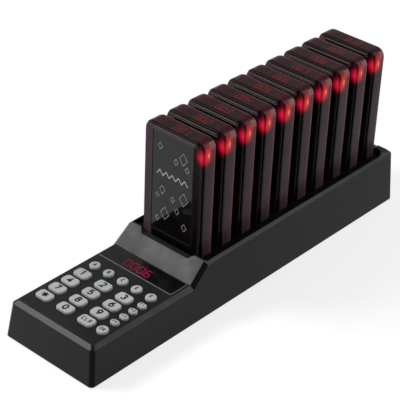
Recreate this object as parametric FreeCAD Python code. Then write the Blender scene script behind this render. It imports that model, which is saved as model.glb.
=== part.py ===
"""Guest pager system: a keypad console with a charging tray that holds ten table pagers in a row.

Millimetres. +X is the operator's right, +Y runs from the keypad end to the rear, +Z is up.
The origin is at the middle of the footprint, on the table that the rubber feet stand on.
"""
import FreeCAD, Part
import math
import os

Vector = FreeCAD.Vector
UP = Vector(0, 0, 1)
REARWARD = Vector(0, 1, 0)

# --- console housing -------------------------------------------------------------------------
base_width = 102.0          # across the bottom edge
foot_height = 1.2           # rubber foot below the bottom edge
housing_height = 51.2       # bottom edge to the tray's rim
deck_height = 35.7          # bottom edge to the keypad deck
front_lean = 4.8            # how far the front face leans back up to the deck
side_draft = 5.8            # degrees that each long side leans in
wedge_run = 18.4            # sloping face between the deck and the rim, along the console
housing_wall = 2.4
corner_radius = 4.0         # upright corners
top_edge_bevel = 3.4        # flat edges round the deck and the rim

# --- pagers ----------------------------------------------------------------------------------
pager_count = 10
pager_gap = 6.73            # between one pager's back and the next one's front
pager_width = 66.0
pager_thickness = 19.1
pager_height = 124.8
pager_wall = 1.8
pager_top_radius = 9.0
pager_foot_radius = 6.0
pager_back_radius = 5.0
front_case_depth = 3.0
front_case_inset = 1.0      # front case is this much smaller all round
front_case_radius = 0.5
parting_groove = 0.5        # width and depth of the shadow line between the cases
front_hollow = 1.0          # hollow behind the front case's face
face_rise = 0.6             # raised face in front of the front case's border
face_bevel = 0.3
face_side_margin = 8.7      # pager's side to the raised face
face_top_margin = 3.6
face_above_rim = 1.9
face_radius = 2.5
label_margin = 1.5          # raised face's side and foot to the label's recess
label_head = 2.1            # raised face's top to the label's recess
label_radius = 1.0
label_recess = 1.2
label_thickness = 0.8
label_clearance = 0.25

# --- tray and its charging insert ------------------------------------------------------------
seat_depth = 18.0           # tray's rim down to the floor that the pagers stand on
slot_clearance = 0.4
tray_front_wall = 1.7       # rim's thickness behind the sloping face
tray_front_gap = 1.7        # tray's front wall to the first pager
tray_rear_gap = 2.2         # last pager to the tray's rear wall
tray_rear_wall = 8.2
tray_side_wall = 2.4        # rim's thickness along each long side
tray_rear_radius = 12.0
tray_front_radius = 1.5
curtain_thickness = 1.6     # tray's front wall where it hangs below the sloping face
curtain_overlap = 2.0       # how far it hangs past the insert's wells
ledge_depth = 5.0           # rim down to the insert's top
insert_plate = 1.8
insert_clearance = 0.25
insert_wall = 1.6           # walls of each well
insert_floor = 2.0
shelf_width = 3.4           # lip along each long side that carries the insert
shelf_thickness = 2.4
relief_inset = 4.6          # well's side to the end of the hollow under each web
notch_side_margin = 2.0     # pager's side to the notch's top corner
notch_slope = 4.2           # how far each end of the notch slopes in
notch_depth = 3.2           # dip in the rim before the first pager and behind the last
notch_radius = 1.4
notch_skin = 2.0            # material left under the notch

# --- inside a pager --------------------------------------------------------------------------
board_thickness = 1.6
pager_board_margin = 5.0    # pager's side to the board's edge
pager_board_depth = 5.0     # pager's front face to the board's front
pager_board_bottom = 9.0    # above the pager's foot
number_width = 22.6
number_depth = 9.6
number_height = 6.4
number_setback = 0.4
battery_width = 40.0
battery_length = 56.0
battery_thickness = 6.4
battery_bottom = 34.0       # above the pager's foot
motor_radius = 5.0
motor_thickness = 3.2
motor_height = 22.0         # above the pager's foot
lamp_below_top = 12.2       # lamp's middle below the pager's top
lamp_width = 4.5
lamp_depth = 4.4
lamp_length = 8.6
lamp_clearance = 0.3
boss_radius = 2.4
boss_x = 24.0
boss_inset = 6.0            # boss's centre inside the board's lower edge
boss_below_display = 12.0
contact_x = 12.0
contact_behind_middle = 1.0
contact_radius = 2.2
contact_flange = 3.2
contact_flange_thickness = 0.8
contact_lift = 0.6          # contact's face above the pager's foot
contact_hole_clearance = 0.1
pin_radius = 0.9
pin_bevel = 0.3
pin_clearance = 0.1         # charging pin's tip below the contact
pin_hole_clearance = 0.2

# --- keys ------------------------------------------------------------------------------------
key_travel = 1.2
key_rise = 2.2              # above the deck
key_clearance = 0.3
key_flange = 1.0            # flange's width and thickness under the deck
key_gap = 0.1               # flange below the deck's underside at rest
key_stem_inset = 1.2
key_edge_radius = 1.1
number_key = (15.6, 10.8, 3.6)      # width, depth, corner radius
letter_key = (10.0, 10.0, 5.0)
enter_key = (10.4, 10.4, 5.2)
function_key = (8.6, 6.2, 3.1)
keypad_left_margin = 16.8   # deck's left edge to the first number column
keypad_right_margin = 11.2  # deck's right edge to the function column
function_gap = 17.8         # last number column to the function column
first_row = 26.9            # front bottom edge to the lowest number row
row_pitch = 14.5
letter_row_gap = 16.0       # top number row to the letter row
letter_left_margin = 15.4
letter_right_margin = 13.9
enter_row_offset = 0.3      # enter key's centre behind the lowest number row
function_row_offset = 14.3  # lowest function key's centre behind the lowest number row
function_pitch = 10.57

# --- display ---------------------------------------------------------------------------------
window_gap = 14.8           # letter row to the window's front edge
window_depth = 21.1
window_left_margin = 3.6    # window's end to the deck's edge
window_right_margin = 5.4
window_to_wedge = 0.6
window_recess = 1.5
window_rise = 0.5           # stands proud of the deck
window_bevel = 0.6
window_radius = 1.6
window_clearance = 0.2
module_width = 30.2         # four-digit 9 mm light-emitting display
module_depth = 14.0
module_height_under_window = 0.2
module_x = -4.0
module_forward = 1.0        # module's middle before the window's middle
module_hole_clearance = 0.4
digit_inset = 0.8
digit_margin = 2.2
digit_depth = 0.3

# --- boards, cover and fittings --------------------------------------------------------------
key_space = 4.3             # deck's underside down to the control board
board_side_gap = 5.1        # control board to the housing's side, at the deck's underside
board_front = 12.5          # front bottom edge to the board's front
board_front_half_width = 33.0
board_wing_start = 21.0     # front bottom edge to the board's full width
board_to_wedge = 1.9
mat_thickness = 0.8
mat_inset = 0.5             # mat's edge inside the board's
post_radius = 2.6
post_x = 22.0
post_inset = 4.0            # post's centre inside the board's front and rear edges
radio_size = (18.0, 12.0, 2.6)
radio_x = 20.0
aerial_radius = 2.6
aerial_wall = 0.8
aerial_length = 17.0
aerial_gap = 4.0
charging_board_margin = 5.0
charging_board_inset = 1.0
cover_thickness = 2.2
cover_clearance = 0.2
cover_corner_radius = 2.0
rib_thickness = 1.4
rib_height = 6.0
rib_end_gap = 22.0
pillar_radius = 3.3
pillar_inset = 7.9          # pillar's centre inside the bottom edge's side
pillar_rows = 4
pillar_end_inset = 14.0     # first and last pillar's centre inside the ends
pillar_root = 0.5           # how far pillars and posts run into what they hang from
screw_radius = 1.25
screw_head_radius = 2.7
screw_head_height = 1.6
screw_length = 10.0
screw_clearance = 0.05
screw_hole_clearance = 0.3
drive_half_length = 1.8
drive_half_width = 0.35
drive_depth = 0.7
foot_radius = 6.0
foot_recess = 0.8
foot_clearance = 0.1
foot_edge_radius = 0.5
foot_side_inset = 14.0
foot_end_inset = 27.0
socket_height = 13.0        # socket's axis above the housing's bottom edge
socket_radius = 4.6
socket_body = (10.0, 13.0, 11.0)
socket_bore = 2.75
socket_bore_depth = 9.5
socket_pin = 1.0
socket_pin_recess = 1.3
socket_clearance = 0.15

# --- worked out from the sizes above ---------------------------------------------------------
draft = math.tan(math.radians(side_draft))
deck_half_width = base_width / 2 - deck_height * draft
letter_row = first_row + 3 * row_pitch + letter_row_gap
window_front = letter_row + window_gap
wedge_foot = window_front + window_depth + window_to_wedge
wedge_top = wedge_foot + wedge_run
tray_front = wedge_top + tray_front_wall
first_pager = tray_front + tray_front_gap
pager_pitch = pager_thickness + pager_gap
last_pager_back = first_pager + (pager_count - 1) * pager_pitch + pager_thickness
tray_rear = last_pager_back + tray_rear_gap
base_length = tray_rear + tray_rear_wall

front_y = -base_length / 2
rear_y = base_length / 2
bottom_z = foot_height
deck_z = bottom_z + deck_height
rim_z = bottom_z + housing_height
deck_under_z = deck_z - housing_wall
insert_top_z = rim_z - ledge_depth
shelf_top_z = insert_top_z - insert_plate
seat_z = rim_z - seat_depth
insert_low_z = seat_z - insert_floor
pager_top_z = seat_z + pager_height
board_top_z = deck_under_z - key_space
tray_half_width = base_width / 2 - housing_height * draft - tray_side_wall
slanted_wall = housing_wall / math.cos(math.radians(side_draft))
leaning_wall = housing_wall * math.hypot(1.0, front_lean / deck_height)
wedge_slope = wedge_run / (housing_height - deck_height)
board_back = wedge_foot - board_to_wedge
board_half_width = deck_half_width - slanted_wall + housing_wall * draft - board_side_gap
module_middle = front_y + window_front + window_depth / 2 - module_forward
number_bottom_z = pager_top_z - pager_wall - number_height
contact_row = pager_thickness / 2 + contact_behind_middle
lamp_reach = pager_width / 2 - pager_wall - lamp_clearance
window_x = (window_left_margin - window_right_margin) / 2
window_half_width = deck_half_width - (window_left_margin + window_right_margin) / 2
cutter = 1.0                # how far a cutting shape runs past the face it opens
close = 0.001               # how near an edge lies to the level it is picked by


# --- shapes used throughout ------------------------------------------------------------------
def box(x0, x1, y0, y1, z0, z1):
    """A block between two corners."""
    return Part.makeBox(x1 - x0, y1 - y0, z1 - z0, Vector(x0, y0, z0))


def bar(radius, length, base, axis=UP):
    """A round bar from a base point along an axis."""
    return Part.makeCylinder(radius, length, base, axis)


def prism_along_x(points, x0, x1):
    """A (y, z) outline pushed along X."""
    corners = [Vector(x0, y, z) for y, z in points]
    return Part.Face(Part.makePolygon(corners + corners[:1])).extrude(Vector(x1 - x0, 0, 0))


def prism_along_y(points, y0, y1):
    """An (x, z) outline pushed along Y."""
    corners = [Vector(x, y0, z) for x, z in points]
    return Part.Face(Part.makePolygon(corners + corners[:1])).extrude(Vector(0, y1 - y0, 0))


def edges_along(shape, direction):
    """The straight edges parallel to a direction."""
    found = []
    for edge in shape.Edges:
        run = edge.Vertexes[-1].Point - edge.Vertexes[0].Point
        if run.Length > 1e-6 and run.cross(direction).Length < 1e-6 * run.Length:
            found.append(edge)
    return found


def edges_where(shape, keep):
    """The edges whose middle point passes a test."""
    return [edge for edge in shape.Edges if keep(edge.CenterOfMass)]


def joined(solids):
    """One solid from several that touch or overlap."""
    return solids[0].fuse(solids[1:]).removeSplitter()


def pad(x, y, width, depth, radius, z0, z1):
    """An upright block centred at (x, y): rounded corners, an oval along X, or a disc."""
    if width == depth and radius >= width / 2:
        return bar(width / 2, z1 - z0, Vector(x, y, z0))
    if radius >= depth / 2:
        end = width / 2 - depth / 2
        ends = [bar(depth / 2, z1 - z0, Vector(x + side * end, y, z0)) for side in (-1, 1)]
        return joined(ends + [box(x - end, x + end, y - depth / 2, y + depth / 2, z0, z1)])
    block = box(x - width / 2, x + width / 2, y - depth / 2, y + depth / 2, z0, z1)
    return block.makeFillet(radius, edges_along(block, UP))


def tapered_pad(x, y, width, depth, radius, z0, z1, taper):
    """A rounded block whose sides slope in by the taper between its foot and its top."""
    foot = pad(x, y, width, depth, radius, z0, z1)
    top = pad(x, y, width - 2 * taper, depth - 2 * taper, radius - taper, z0, z1)
    low = [face for face in foot.Faces if face.CenterOfMass.z < z0 + 1e-6][0]
    high = [face for face in top.Faces if face.CenterOfMass.z > z1 - 1e-6][0]
    return Part.makeLoft([low.OuterWire, high.OuterWire], True, True)


# --- housing ---------------------------------------------------------------------------------
def sides_between(inset, z0, z1):
    """The wedge-shaped space between the two leaning sides, moved in by a wall."""
    low = base_width / 2 - inset - (z0 - bottom_z) * draft
    high = base_width / 2 - inset - (z1 - bottom_z) * draft
    outline = [(-low, z0), (low, z0), (high, z1), (-high, z1)]
    return prism_along_y(outline, front_y - cutter, rear_y + cutter)


def outer_form():
    """Low front deck, sloping face and raised tray, as one drafted block with bevelled top edges."""
    side_view = [
        (front_y, bottom_z),
        (front_y + front_lean, deck_z),
        (front_y + wedge_foot, deck_z),
        (front_y + wedge_top, rim_z),
        (rear_y, rim_z),
        (rear_y, bottom_z),
    ]
    half = base_width / 2
    form = prism_along_x(side_view, -half, half).common(sides_between(0, bottom_z, rim_z))

    def at_top(p):
        from_wedge = abs(p.y - front_y - wedge_foot - wedge_run / 2)
        on_wedge_line = abs(p.x) < cutter and from_wedge < wedge_run / 2 + cutter
        return p.z > deck_z - cutter and not on_wedge_line

    def at_corner(p):
        outside = abs(p.x) > half - housing_height * draft - top_edge_bevel
        at_front = p.y < front_y + front_lean + top_edge_bevel
        at_rear = p.y > rear_y - top_edge_bevel
        return outside and (at_front or at_rear) and p.z > bottom_z + cutter

    form = form.makeChamfer(top_edge_bevel, edges_where(form, at_top))
    return form.makeFillet(corner_radius, edges_where(form, at_corner))


def inner_void():
    """Space under the deck, the sloping face and the tray, with the tray's front wall left hanging."""
    across = housing_wall * math.hypot(1.0, wedge_slope)
    slope_start = front_y + wedge_foot + across - housing_wall * wedge_slope
    slope_top_z = rim_z - notch_depth - notch_skin
    slope_end = slope_start + (slope_top_z - deck_under_z) * wedge_slope
    curtain_y = front_y + tray_front - curtain_thickness
    curtain_z = insert_low_z - curtain_overlap
    side_view = [
        (front_y + leaning_wall - cutter * front_lean / deck_height, bottom_z - cutter),
        (front_y + leaning_wall + (deck_under_z - bottom_z) * front_lean / deck_height, deck_under_z),
        (slope_start, deck_under_z),
        (slope_end, slope_top_z),
        (curtain_y, slope_top_z),
        (curtain_y, curtain_z),
        (front_y + tray_front, curtain_z),
        (front_y + tray_front, shelf_top_z),
        (rear_y - housing_wall, shelf_top_z),
        (rear_y - housing_wall, bottom_z - cutter),
    ]
    half = base_width / 2
    sides = sides_between(slanted_wall, bottom_z - cutter, rim_z)
    return prism_along_x(side_view, -half, half).common(sides)


def tray_opening():
    """The mouth of the tray, from the shelf up through the rim."""
    y0 = front_y + tray_front
    y1 = front_y + tray_rear
    block = box(-tray_half_width, tray_half_width, y0, y1, shelf_top_z, rim_z + cutter)
    rear = [edge for edge in edges_along(block, UP) if edge.CenterOfMass.y > y1 - cutter]
    block = block.makeFillet(tray_rear_radius, rear)
    front = [edge for edge in edges_along(block, UP) if edge.CenterOfMass.y < y0 + cutter]
    return block.makeFillet(tray_front_radius, front)


def rim_notch(y0, y1):
    """A shallow dip in the rim with sloping ends, as wide as a pager."""
    half_top = pager_width / 2 - notch_side_margin
    half_low = half_top - notch_slope
    low_z = rim_z - notch_depth
    outline = [
        (-half_low, low_z),
        (half_low, low_z),
        (half_top, rim_z),
        (half_top, rim_z + notch_depth),
        (-half_top, rim_z + notch_depth),
        (-half_top, rim_z),
    ]
    notch = prism_along_y(outline, y0, y1)
    low = [edge for edge in edges_along(notch, REARWARD) if edge.CenterOfMass.z < low_z + close]
    return notch.makeFillet(notch_radius, low)


def pillar_points():
    """Where the housing's screw pillars stand, clear of the posts and evenly spaced."""
    x = base_width / 2 - pillar_inset
    first = front_y + pillar_end_inset
    step = (base_length - 2 * pillar_end_inset) / (pillar_rows - 1)
    return [(side * x, first + row * step) for row in range(pillar_rows) for side in (-1, 1)]


def post_points():
    """Where the control board's posts hang."""
    rows = (front_y + board_front + post_inset, front_y + board_back - post_inset)
    return [(side * post_x, y) for y in rows for side in (-1, 1)]


def window_middle():
    """The display window's middle along Y."""
    return front_y + window_front + window_depth / 2


def module_hole():
    """The opening under the window that the display module stands in."""
    half_x = module_width / 2 + module_hole_clearance
    half_y = module_depth / 2 + module_hole_clearance
    return box(
        module_x - half_x,
        module_x + half_x,
        module_middle - half_y,
        module_middle + half_y,
        deck_under_z - cutter,
        deck_z,
    )


def make_top_housing():
    """The moulded shell: deck, sloping face, tray walls, shelves, pillars and posts."""
    shell = outer_form().cut(inner_void())
    shell = shell.cut(tray_opening())
    shell = shell.cut(rim_notch(front_y + wedge_foot, front_y + tray_front + cutter))
    shell = shell.cut(rim_notch(front_y + tray_rear - cutter, rear_y + cutter))
    additions = []
    shelf_low_z = shelf_top_z - shelf_thickness
    shelf_in = tray_half_width - shelf_width
    shelf_out = base_width / 2 - (shelf_top_z - bottom_z) * draft - slanted_wall / 2
    for side in (-1, 1):
        x0, x1 = sorted((side * shelf_in, side * shelf_out))
        y0 = front_y + tray_front - curtain_thickness
        additions.append(box(x0, x1, y0, rear_y - housing_wall, shelf_low_z, shelf_top_z))
    pillar_foot = bottom_z + cover_thickness
    for x, y in pillar_points():
        top = deck_under_z if y < front_y + wedge_foot else shelf_low_z
        additions.append(bar(pillar_radius, top + pillar_root - pillar_foot, Vector(x, y, pillar_foot)))
    post_length = deck_under_z + pillar_root - board_top_z
    for x, y in post_points():
        additions.append(bar(post_radius, post_length, Vector(x, y, board_top_z)))
    shell = shell.fuse(additions).common(outer_form())
    cuts = [key_hole(form, x, y) for name, form, x, y in key_layout()]
    wide = 2 * window_half_width
    recess_z = deck_z - window_recess
    cuts.append(pad(window_x, window_middle(), wide, window_depth, window_radius, recess_z, deck_z + cutter))
    cuts.append(module_hole())
    for x, y in pillar_points():
        cuts.append(bar(screw_radius + screw_clearance, screw_length + cutter, Vector(x, y, bottom_z)))
    socket_hole = Vector(0, rear_y - housing_wall - cutter, bottom_z + socket_height)
    cuts.append(bar(socket_radius + socket_clearance, housing_wall + 2 * cutter, socket_hole, REARWARD))
    return shell.cut(cuts).removeSplitter()


# --- keys ------------------------------------------------------------------------------------
def key_layout():
    """Every key: name, shape and the centre of its cap."""
    keys = []
    first_y = front_y + first_row
    left_x = keypad_left_margin - deck_half_width
    right_x = deck_half_width - keypad_right_margin
    column_pitch = (right_x - function_gap - left_x) / 2
    rows = (("star", "0", "clear"), ("7", "8", "9"), ("4", "5", "6"), ("1", "2", "3"))
    for row, names in enumerate(rows):
        y = first_y + row * row_pitch
        for column, name in enumerate(names):
            keys.append(("key_" + name, number_key, left_x + column * column_pitch, y))
    letters = "abcef"
    letter_x = letter_left_margin - deck_half_width
    letter_pitch = (deck_half_width - letter_right_margin - letter_x) / (len(letters) - 1)
    for column, name in enumerate(letters):
        keys.append(("key_" + name, letter_key, letter_x + column * letter_pitch, front_y + letter_row))
    function_y = first_y + function_row_offset
    for row, name in enumerate(("f4", "f3", "f2", "f1")):
        keys.append(("key_" + name, function_key, right_x, function_y + row * function_pitch))
    keys.append(("key_enter", enter_key, right_x, first_y + enter_row_offset))
    return keys


def grown(form, amount):
    """A key's outline with every side moved out."""
    width, depth, radius = form
    return width + 2 * amount, depth + 2 * amount, radius + amount


def key_hole(form, x, y):
    """The deck's opening for a key."""
    return pad(x, y, *grown(form, key_clearance), deck_under_z - cutter, deck_z + cutter)


def make_key(form, x, y):
    """A silicone key: rounded cap, flange under the deck and a stem over its contact."""
    top = deck_z + key_rise
    flange_top = deck_under_z - key_gap
    flange_low = flange_top - key_flange
    stem_low = board_top_z + mat_thickness + key_travel + key_gap
    cap = pad(x, y, *form, flange_low, top)
    cap = cap.makeFillet(key_edge_radius, edges_where(cap, lambda p: p.z > top - close))
    flange = pad(x, y, *grown(form, key_flange), flange_low, flange_top)
    stem = pad(x, y, *grown(form, -key_stem_inset), stem_low, flange_top)
    return joined([cap, flange, stem])


# --- display and control electronics ---------------------------------------------------------
def make_display_window():
    """The glossy strip across the deck: it sits in a recess and stands proud with sloping edges."""
    wide = 2 * (window_half_width - window_clearance)
    deep = window_depth - 2 * window_clearance
    y = window_middle()
    top = deck_z + window_rise
    sunk = pad(window_x, y, wide, deep, window_radius, deck_z - window_recess, deck_z)
    proud = tapered_pad(window_x, y, wide, deep, window_radius, deck_z, top, window_bevel)
    return joined([sunk, proud])


def make_display_module():
    """The four-digit display block on the control board."""
    x0 = module_x - module_width / 2
    y0 = module_middle - module_depth / 2
    y1 = y0 + module_depth
    top = deck_z - window_recess - module_height_under_window
    block = box(x0, x0 + module_width, y0, y1, board_top_z, top)
    pitch = module_width / 4
    seats = []
    for digit in range(4):
        left = x0 + digit * pitch + digit_inset
        right = left + pitch - 2 * digit_inset
        seats.append(box(left, right, y0 + digit_margin, y1 - digit_margin, top - digit_depth, top + cutter))
    return block.cut(seats)


def make_key_mat():
    """The silicone contact sheet between the keys and the control board."""
    half = board_half_width - mat_inset
    y0 = front_y + board_wing_start + mat_inset
    y1 = module_middle - module_depth / 2 - mat_inset
    low_z = board_top_z
    return pad(0, (y0 + y1) / 2, 2 * half, y1 - y0, mat_thickness, low_z, low_z + mat_thickness)


def make_control_board():
    """Printed circuit board under the keypad, with its radio block and coiled aerial."""
    z0 = board_top_z - board_thickness
    narrow = board_front_half_width
    front = front_y + board_front
    back = front_y + board_back
    tongue = box(-narrow, narrow, front, back, z0, board_top_z)
    wings = box(-board_half_width, board_half_width, front_y + board_wing_start, back, z0, board_top_z)
    width, depth, height = radio_size
    radio_front = module_middle - depth / 2
    radio = box(radio_x - width / 2, radio_x + width / 2, radio_front, radio_front + depth, z0 - height, z0)
    aerial_x = radio_x - width / 2 - aerial_gap - aerial_radius
    start = Vector(aerial_x, module_middle - aerial_length / 2, z0 - aerial_radius)
    aerial = bar(aerial_radius, aerial_length, start, REARWARD)
    aerial = aerial.cut(bar(aerial_radius - aerial_wall, aerial_length, start, REARWARD))
    return Part.makeCompound([joined([tongue, wings]), radio, aerial])


# --- charging insert -------------------------------------------------------------------------
def pager_front(index):
    """Y of a pager's front face."""
    return front_y + first_pager + index * pager_pitch


def well(index):
    """The pocket that one pager stands in."""
    half = pager_width / 2 + slot_clearance
    y0 = pager_front(index) - slot_clearance
    y1 = pager_front(index) + pager_thickness + slot_clearance
    pocket = box(-half, half, y0, y1, seat_z, insert_top_z + cutter)
    rear = [edge for edge in edges_along(pocket, UP) if edge.CenterOfMass.y > y1 - cutter]
    return pocket.makeFillet(pager_back_radius, rear)


def contact_points(index):
    """X and Y of one pager's two charging contacts."""
    return [(side * contact_x, pager_front(index) + contact_row) for side in (-1, 1)]


def make_charging_bay():
    """The insert in the tray: a plate on the shelves with a well for each pager, hollow webs between."""
    y0 = front_y + tray_front + insert_clearance
    y1 = front_y + tray_rear - insert_clearance
    half = tray_half_width - insert_clearance
    plate = box(-half, half, y0, y1, shelf_top_z, insert_top_z)
    rear = [edge for edge in edges_along(plate, UP) if edge.CenterOfMass.y > y1 - cutter]
    plate = plate.makeFillet(tray_rear_radius - insert_clearance, rear)
    front = [edge for edge in edges_along(plate, UP) if edge.CenterOfMass.y < y0 + cutter]
    plate = plate.makeFillet(tray_front_radius - insert_clearance, front)
    side = pager_width / 2 + slot_clearance + insert_wall
    back = front_y + last_pager_back + slot_clearance + insert_wall
    trough = box(-side, side, y0, min(back, y1), insert_low_z, shelf_top_z)
    cuts = [well(index) for index in range(pager_count)]
    relief = pager_gap - 2 * slot_clearance - 2 * insert_wall
    reach = side - relief_inset
    for index in range(pager_count - 1):
        start = pager_front(index) + pager_thickness + slot_clearance + insert_wall
        cuts.append(box(-reach, reach, start, start + relief, insert_low_z - cutter, shelf_top_z))
    for index in range(pager_count):
        for x, y in contact_points(index):
            hole = Vector(x, y, insert_low_z - cutter)
            cuts.append(bar(pin_radius + pin_hole_clearance, insert_floor + 2 * cutter, hole))
    return joined([plate, trough]).cut(cuts)


def make_charging_board():
    """The long board under the wells."""
    half = pager_width / 2 - charging_board_margin
    y0 = front_y + first_pager + charging_board_inset
    y1 = front_y + last_pager_back - charging_board_inset
    return box(-half, half, y0, y1, insert_low_z - board_thickness, insert_low_z)


def make_charging_pins():
    """Two contact pins for each well, standing on the charging board."""
    top = seat_z + contact_lift - pin_clearance
    pins = []
    for index in range(pager_count):
        for x, y in contact_points(index):
            pin = bar(pin_radius, top - insert_low_z, Vector(x, y, insert_low_z))
            pins.append(pin.makeChamfer(pin_bevel, edges_where(pin, lambda p: p.z > top - close)))
    return Part.makeCompound(pins)


# --- bottom cover, feet, screws and power socket ---------------------------------------------
def foot_points():
    """Where the rubber feet sit."""
    x = base_width / 2 - foot_side_inset
    return [(side * x, end * (rear_y - foot_end_inset)) for end in (-1, 1) for side in (-1, 1)]


def make_bottom_cover():
    """The flat cover inside the bottom edge, with screw holes, foot recesses and stiffening ribs."""
    top_z = bottom_z + cover_thickness
    half = base_width / 2 - slanted_wall - cover_clearance - cover_thickness * draft
    y0 = front_y + leaning_wall + cover_clearance + cover_thickness * front_lean / deck_height
    y1 = rear_y - housing_wall - cover_clearance
    cover = box(-half, half, y0, y1, bottom_z, top_z)
    cover = cover.makeFillet(cover_corner_radius, edges_along(cover, UP))
    ribs = []
    rib_x = base_width / 2 - pillar_inset - 2 * pillar_radius
    for x in (-rib_x, 0.0, rib_x):
        low_x = x - rib_thickness / 2
        high_x = x + rib_thickness / 2
        ribs.append(box(low_x, high_x, y0 + rib_end_gap, y1 - rib_end_gap, bottom_z, top_z + rib_height))
    cuts = []
    for x, y in pillar_points():
        under = Vector(x, y, bottom_z - cutter)
        cuts.append(bar(screw_radius + screw_hole_clearance, cover_thickness + 2 * cutter, under))
        cuts.append(bar(screw_head_radius + screw_hole_clearance, screw_head_height + cutter, under))
    for x, y in foot_points():
        cuts.append(bar(foot_radius + foot_clearance, foot_recess + cutter, Vector(x, y, bottom_z - cutter)))
    return joined([cover] + ribs).cut(cuts)


def make_rubber_feet():
    """Four round feet, let into the bottom cover."""
    feet = []
    for x, y in foot_points():
        foot = bar(foot_radius, foot_height + foot_recess, Vector(x, y, 0))
        feet.append(foot.makeFillet(foot_edge_radius, edges_where(foot, lambda p: p.z < close)))
    return Part.makeCompound(feet)


def make_housing_screws():
    """The screws that hold the bottom cover to the housing's pillars."""
    long, slim = drive_half_length, drive_half_width
    screws = []
    for x, y in pillar_points():
        head = bar(screw_head_radius, screw_head_height, Vector(x, y, bottom_z))
        shank = bar(screw_radius, screw_length, Vector(x, y, bottom_z))
        slot = box(x - long, x + long, y - slim, y + slim, bottom_z - cutter, bottom_z + drive_depth)
        cross = box(x - slim, x + slim, y - long, y + long, bottom_z - cutter, bottom_z + drive_depth)
        screws.append(head.fuse([shank]).cut([slot, cross]))
    return Part.makeCompound(screws)


def make_dc_socket():
    """The power inlet in the rear wall: a block on the cover, a round nose, a bore and its pin."""
    width, depth, height = socket_body
    half = width / 2
    z = bottom_z + socket_height
    inner = rear_y - housing_wall
    block = box(-half, half, inner - depth, inner, bottom_z + cover_thickness, z + height / 2)
    nose = bar(socket_radius, housing_wall, Vector(0, inner, z), REARWARD)
    bore_start = Vector(0, rear_y - socket_bore_depth, z)
    bore = bar(socket_bore, socket_bore_depth + cutter, bore_start, REARWARD)
    pin = bar(socket_pin, socket_bore_depth - socket_pin_recess, bore_start, REARWARD)
    return joined([block, nose]).cut(bore).fuse(pin).removeSplitter()


# --- pagers ----------------------------------------------------------------------------------
def pager_block(inset, y0, y1):
    """A pager's front view pushed along Y, moved in all round: small radii at the foot, large at the top."""
    half = pager_width / 2 - inset
    low_z = seat_z + inset
    top = pager_top_z - inset
    block = box(-half, half, y0, y1, low_z, top)
    low = [edge for edge in edges_along(block, REARWARD) if edge.CenterOfMass.z < low_z + close]
    block = block.makeFillet(pager_foot_radius - inset, low)
    high = [edge for edge in edges_along(block, REARWARD) if edge.CenterOfMass.z > top - close]
    return block.makeFillet(pager_top_radius - inset, high)


def make_back_case(front):
    """The deep rear shell of a pager, open to the front, with board bosses and contact holes."""
    y0 = front + front_case_depth
    y1 = front + pager_thickness
    inner = y1 - pager_wall
    shell = pager_block(0.0, y0, y1)
    shell = shell.makeFillet(pager_back_radius, edges_where(shell, lambda p: p.y > y1 - close))
    void = pager_block(pager_wall, y0 - cutter, inner)
    void = void.makeFillet(pager_back_radius - pager_wall, edges_where(void, lambda p: p.y > inner - close))
    shell = shell.cut(void)
    board_rear = front + pager_board_depth + board_thickness
    bosses = []
    for z in (seat_z + pager_board_bottom + boss_inset, number_bottom_z - boss_below_display):
        for side in (-1, 1):
            base = Vector(side * boss_x, board_rear, z)
            bosses.append(bar(boss_radius, inner + pager_wall / 2 - board_rear, base, REARWARD))
    holes = []
    for side in (-1, 1):
        under = Vector(side * contact_x, front + contact_row, seat_z - cutter)
        holes.append(bar(contact_radius + contact_hole_clearance, pager_wall + 2 * cutter, under))
    return shell.fuse(bosses).cut(holes).removeSplitter()


def make_raised_face(front, back):
    """The bevelled face that stands in front of the front case's border."""
    half = pager_width / 2 - face_side_margin
    face = box(-half, half, front, back, rim_z + face_above_rim, pager_top_z - face_top_margin)
    face = face.makeFillet(face_radius, edges_along(face, REARWARD))
    return face.makeChamfer(face_bevel, edges_where(face, lambda p: p.y < front + close))


def label_area(y0, y1, shrink):
    """The rounded rectangle of the label's recess."""
    half = pager_width / 2 - face_side_margin - label_margin - shrink
    low_z = rim_z + face_above_rim + label_margin + shrink
    top = pager_top_z - face_top_margin - label_head - shrink
    block = box(-half, half, y0, y1, low_z, top)
    return block.makeFillet(label_radius, edges_along(block, REARWARD))


def make_front_case(front):
    """The shallow front shell of a pager, with a raised face, the label's recess and the parting groove."""
    back = front + front_case_depth
    border = front + face_rise
    groove = back - parting_groove
    face = pager_block(front_case_inset, border, groove)
    face = face.makeFillet(front_case_radius, edges_where(face, lambda p: p.y < border + close))
    neck_inset = front_case_inset + parting_groove
    neck = pager_block(neck_inset, groove - front_hollow / 2, back)
    hollow = pager_block(neck_inset + pager_wall, back - front_hollow, back + cutter)
    raised = make_raised_face(front, groove)
    recess = label_area(front - cutter, front + label_recess, 0.0)
    return joined([face, neck, raised]).cut([hollow, recess])


def make_label_panel(front):
    """The printed card in the front recess."""
    back = front + label_recess
    return label_area(back - label_thickness, back, label_clearance)


def make_circuit_board(front):
    """A pager's circuit board with a lamp at each upper corner."""
    y0 = front + pager_board_depth
    y1 = y0 + board_thickness
    half = pager_width / 2 - pager_board_margin
    board = box(-half, half, y0, y1, seat_z + pager_board_bottom, number_bottom_z)
    lamps = []
    z = pager_top_z - lamp_below_top
    for side in (-1, 1):
        x0, x1 = sorted((side * (lamp_reach - lamp_width), side * lamp_reach))
        lamps.append(box(x0, x1, y0, y1 + lamp_depth, z - lamp_length / 2, z + lamp_length / 2))
    return joined([board] + lamps)


def make_number_display(front):
    """The three-digit display that shines up through a pager's top."""
    y0 = front + front_case_depth + number_setback
    half = number_width / 2
    return box(-half, half, y0, y0 + number_depth, number_bottom_z, pager_top_z - pager_wall)


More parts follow.
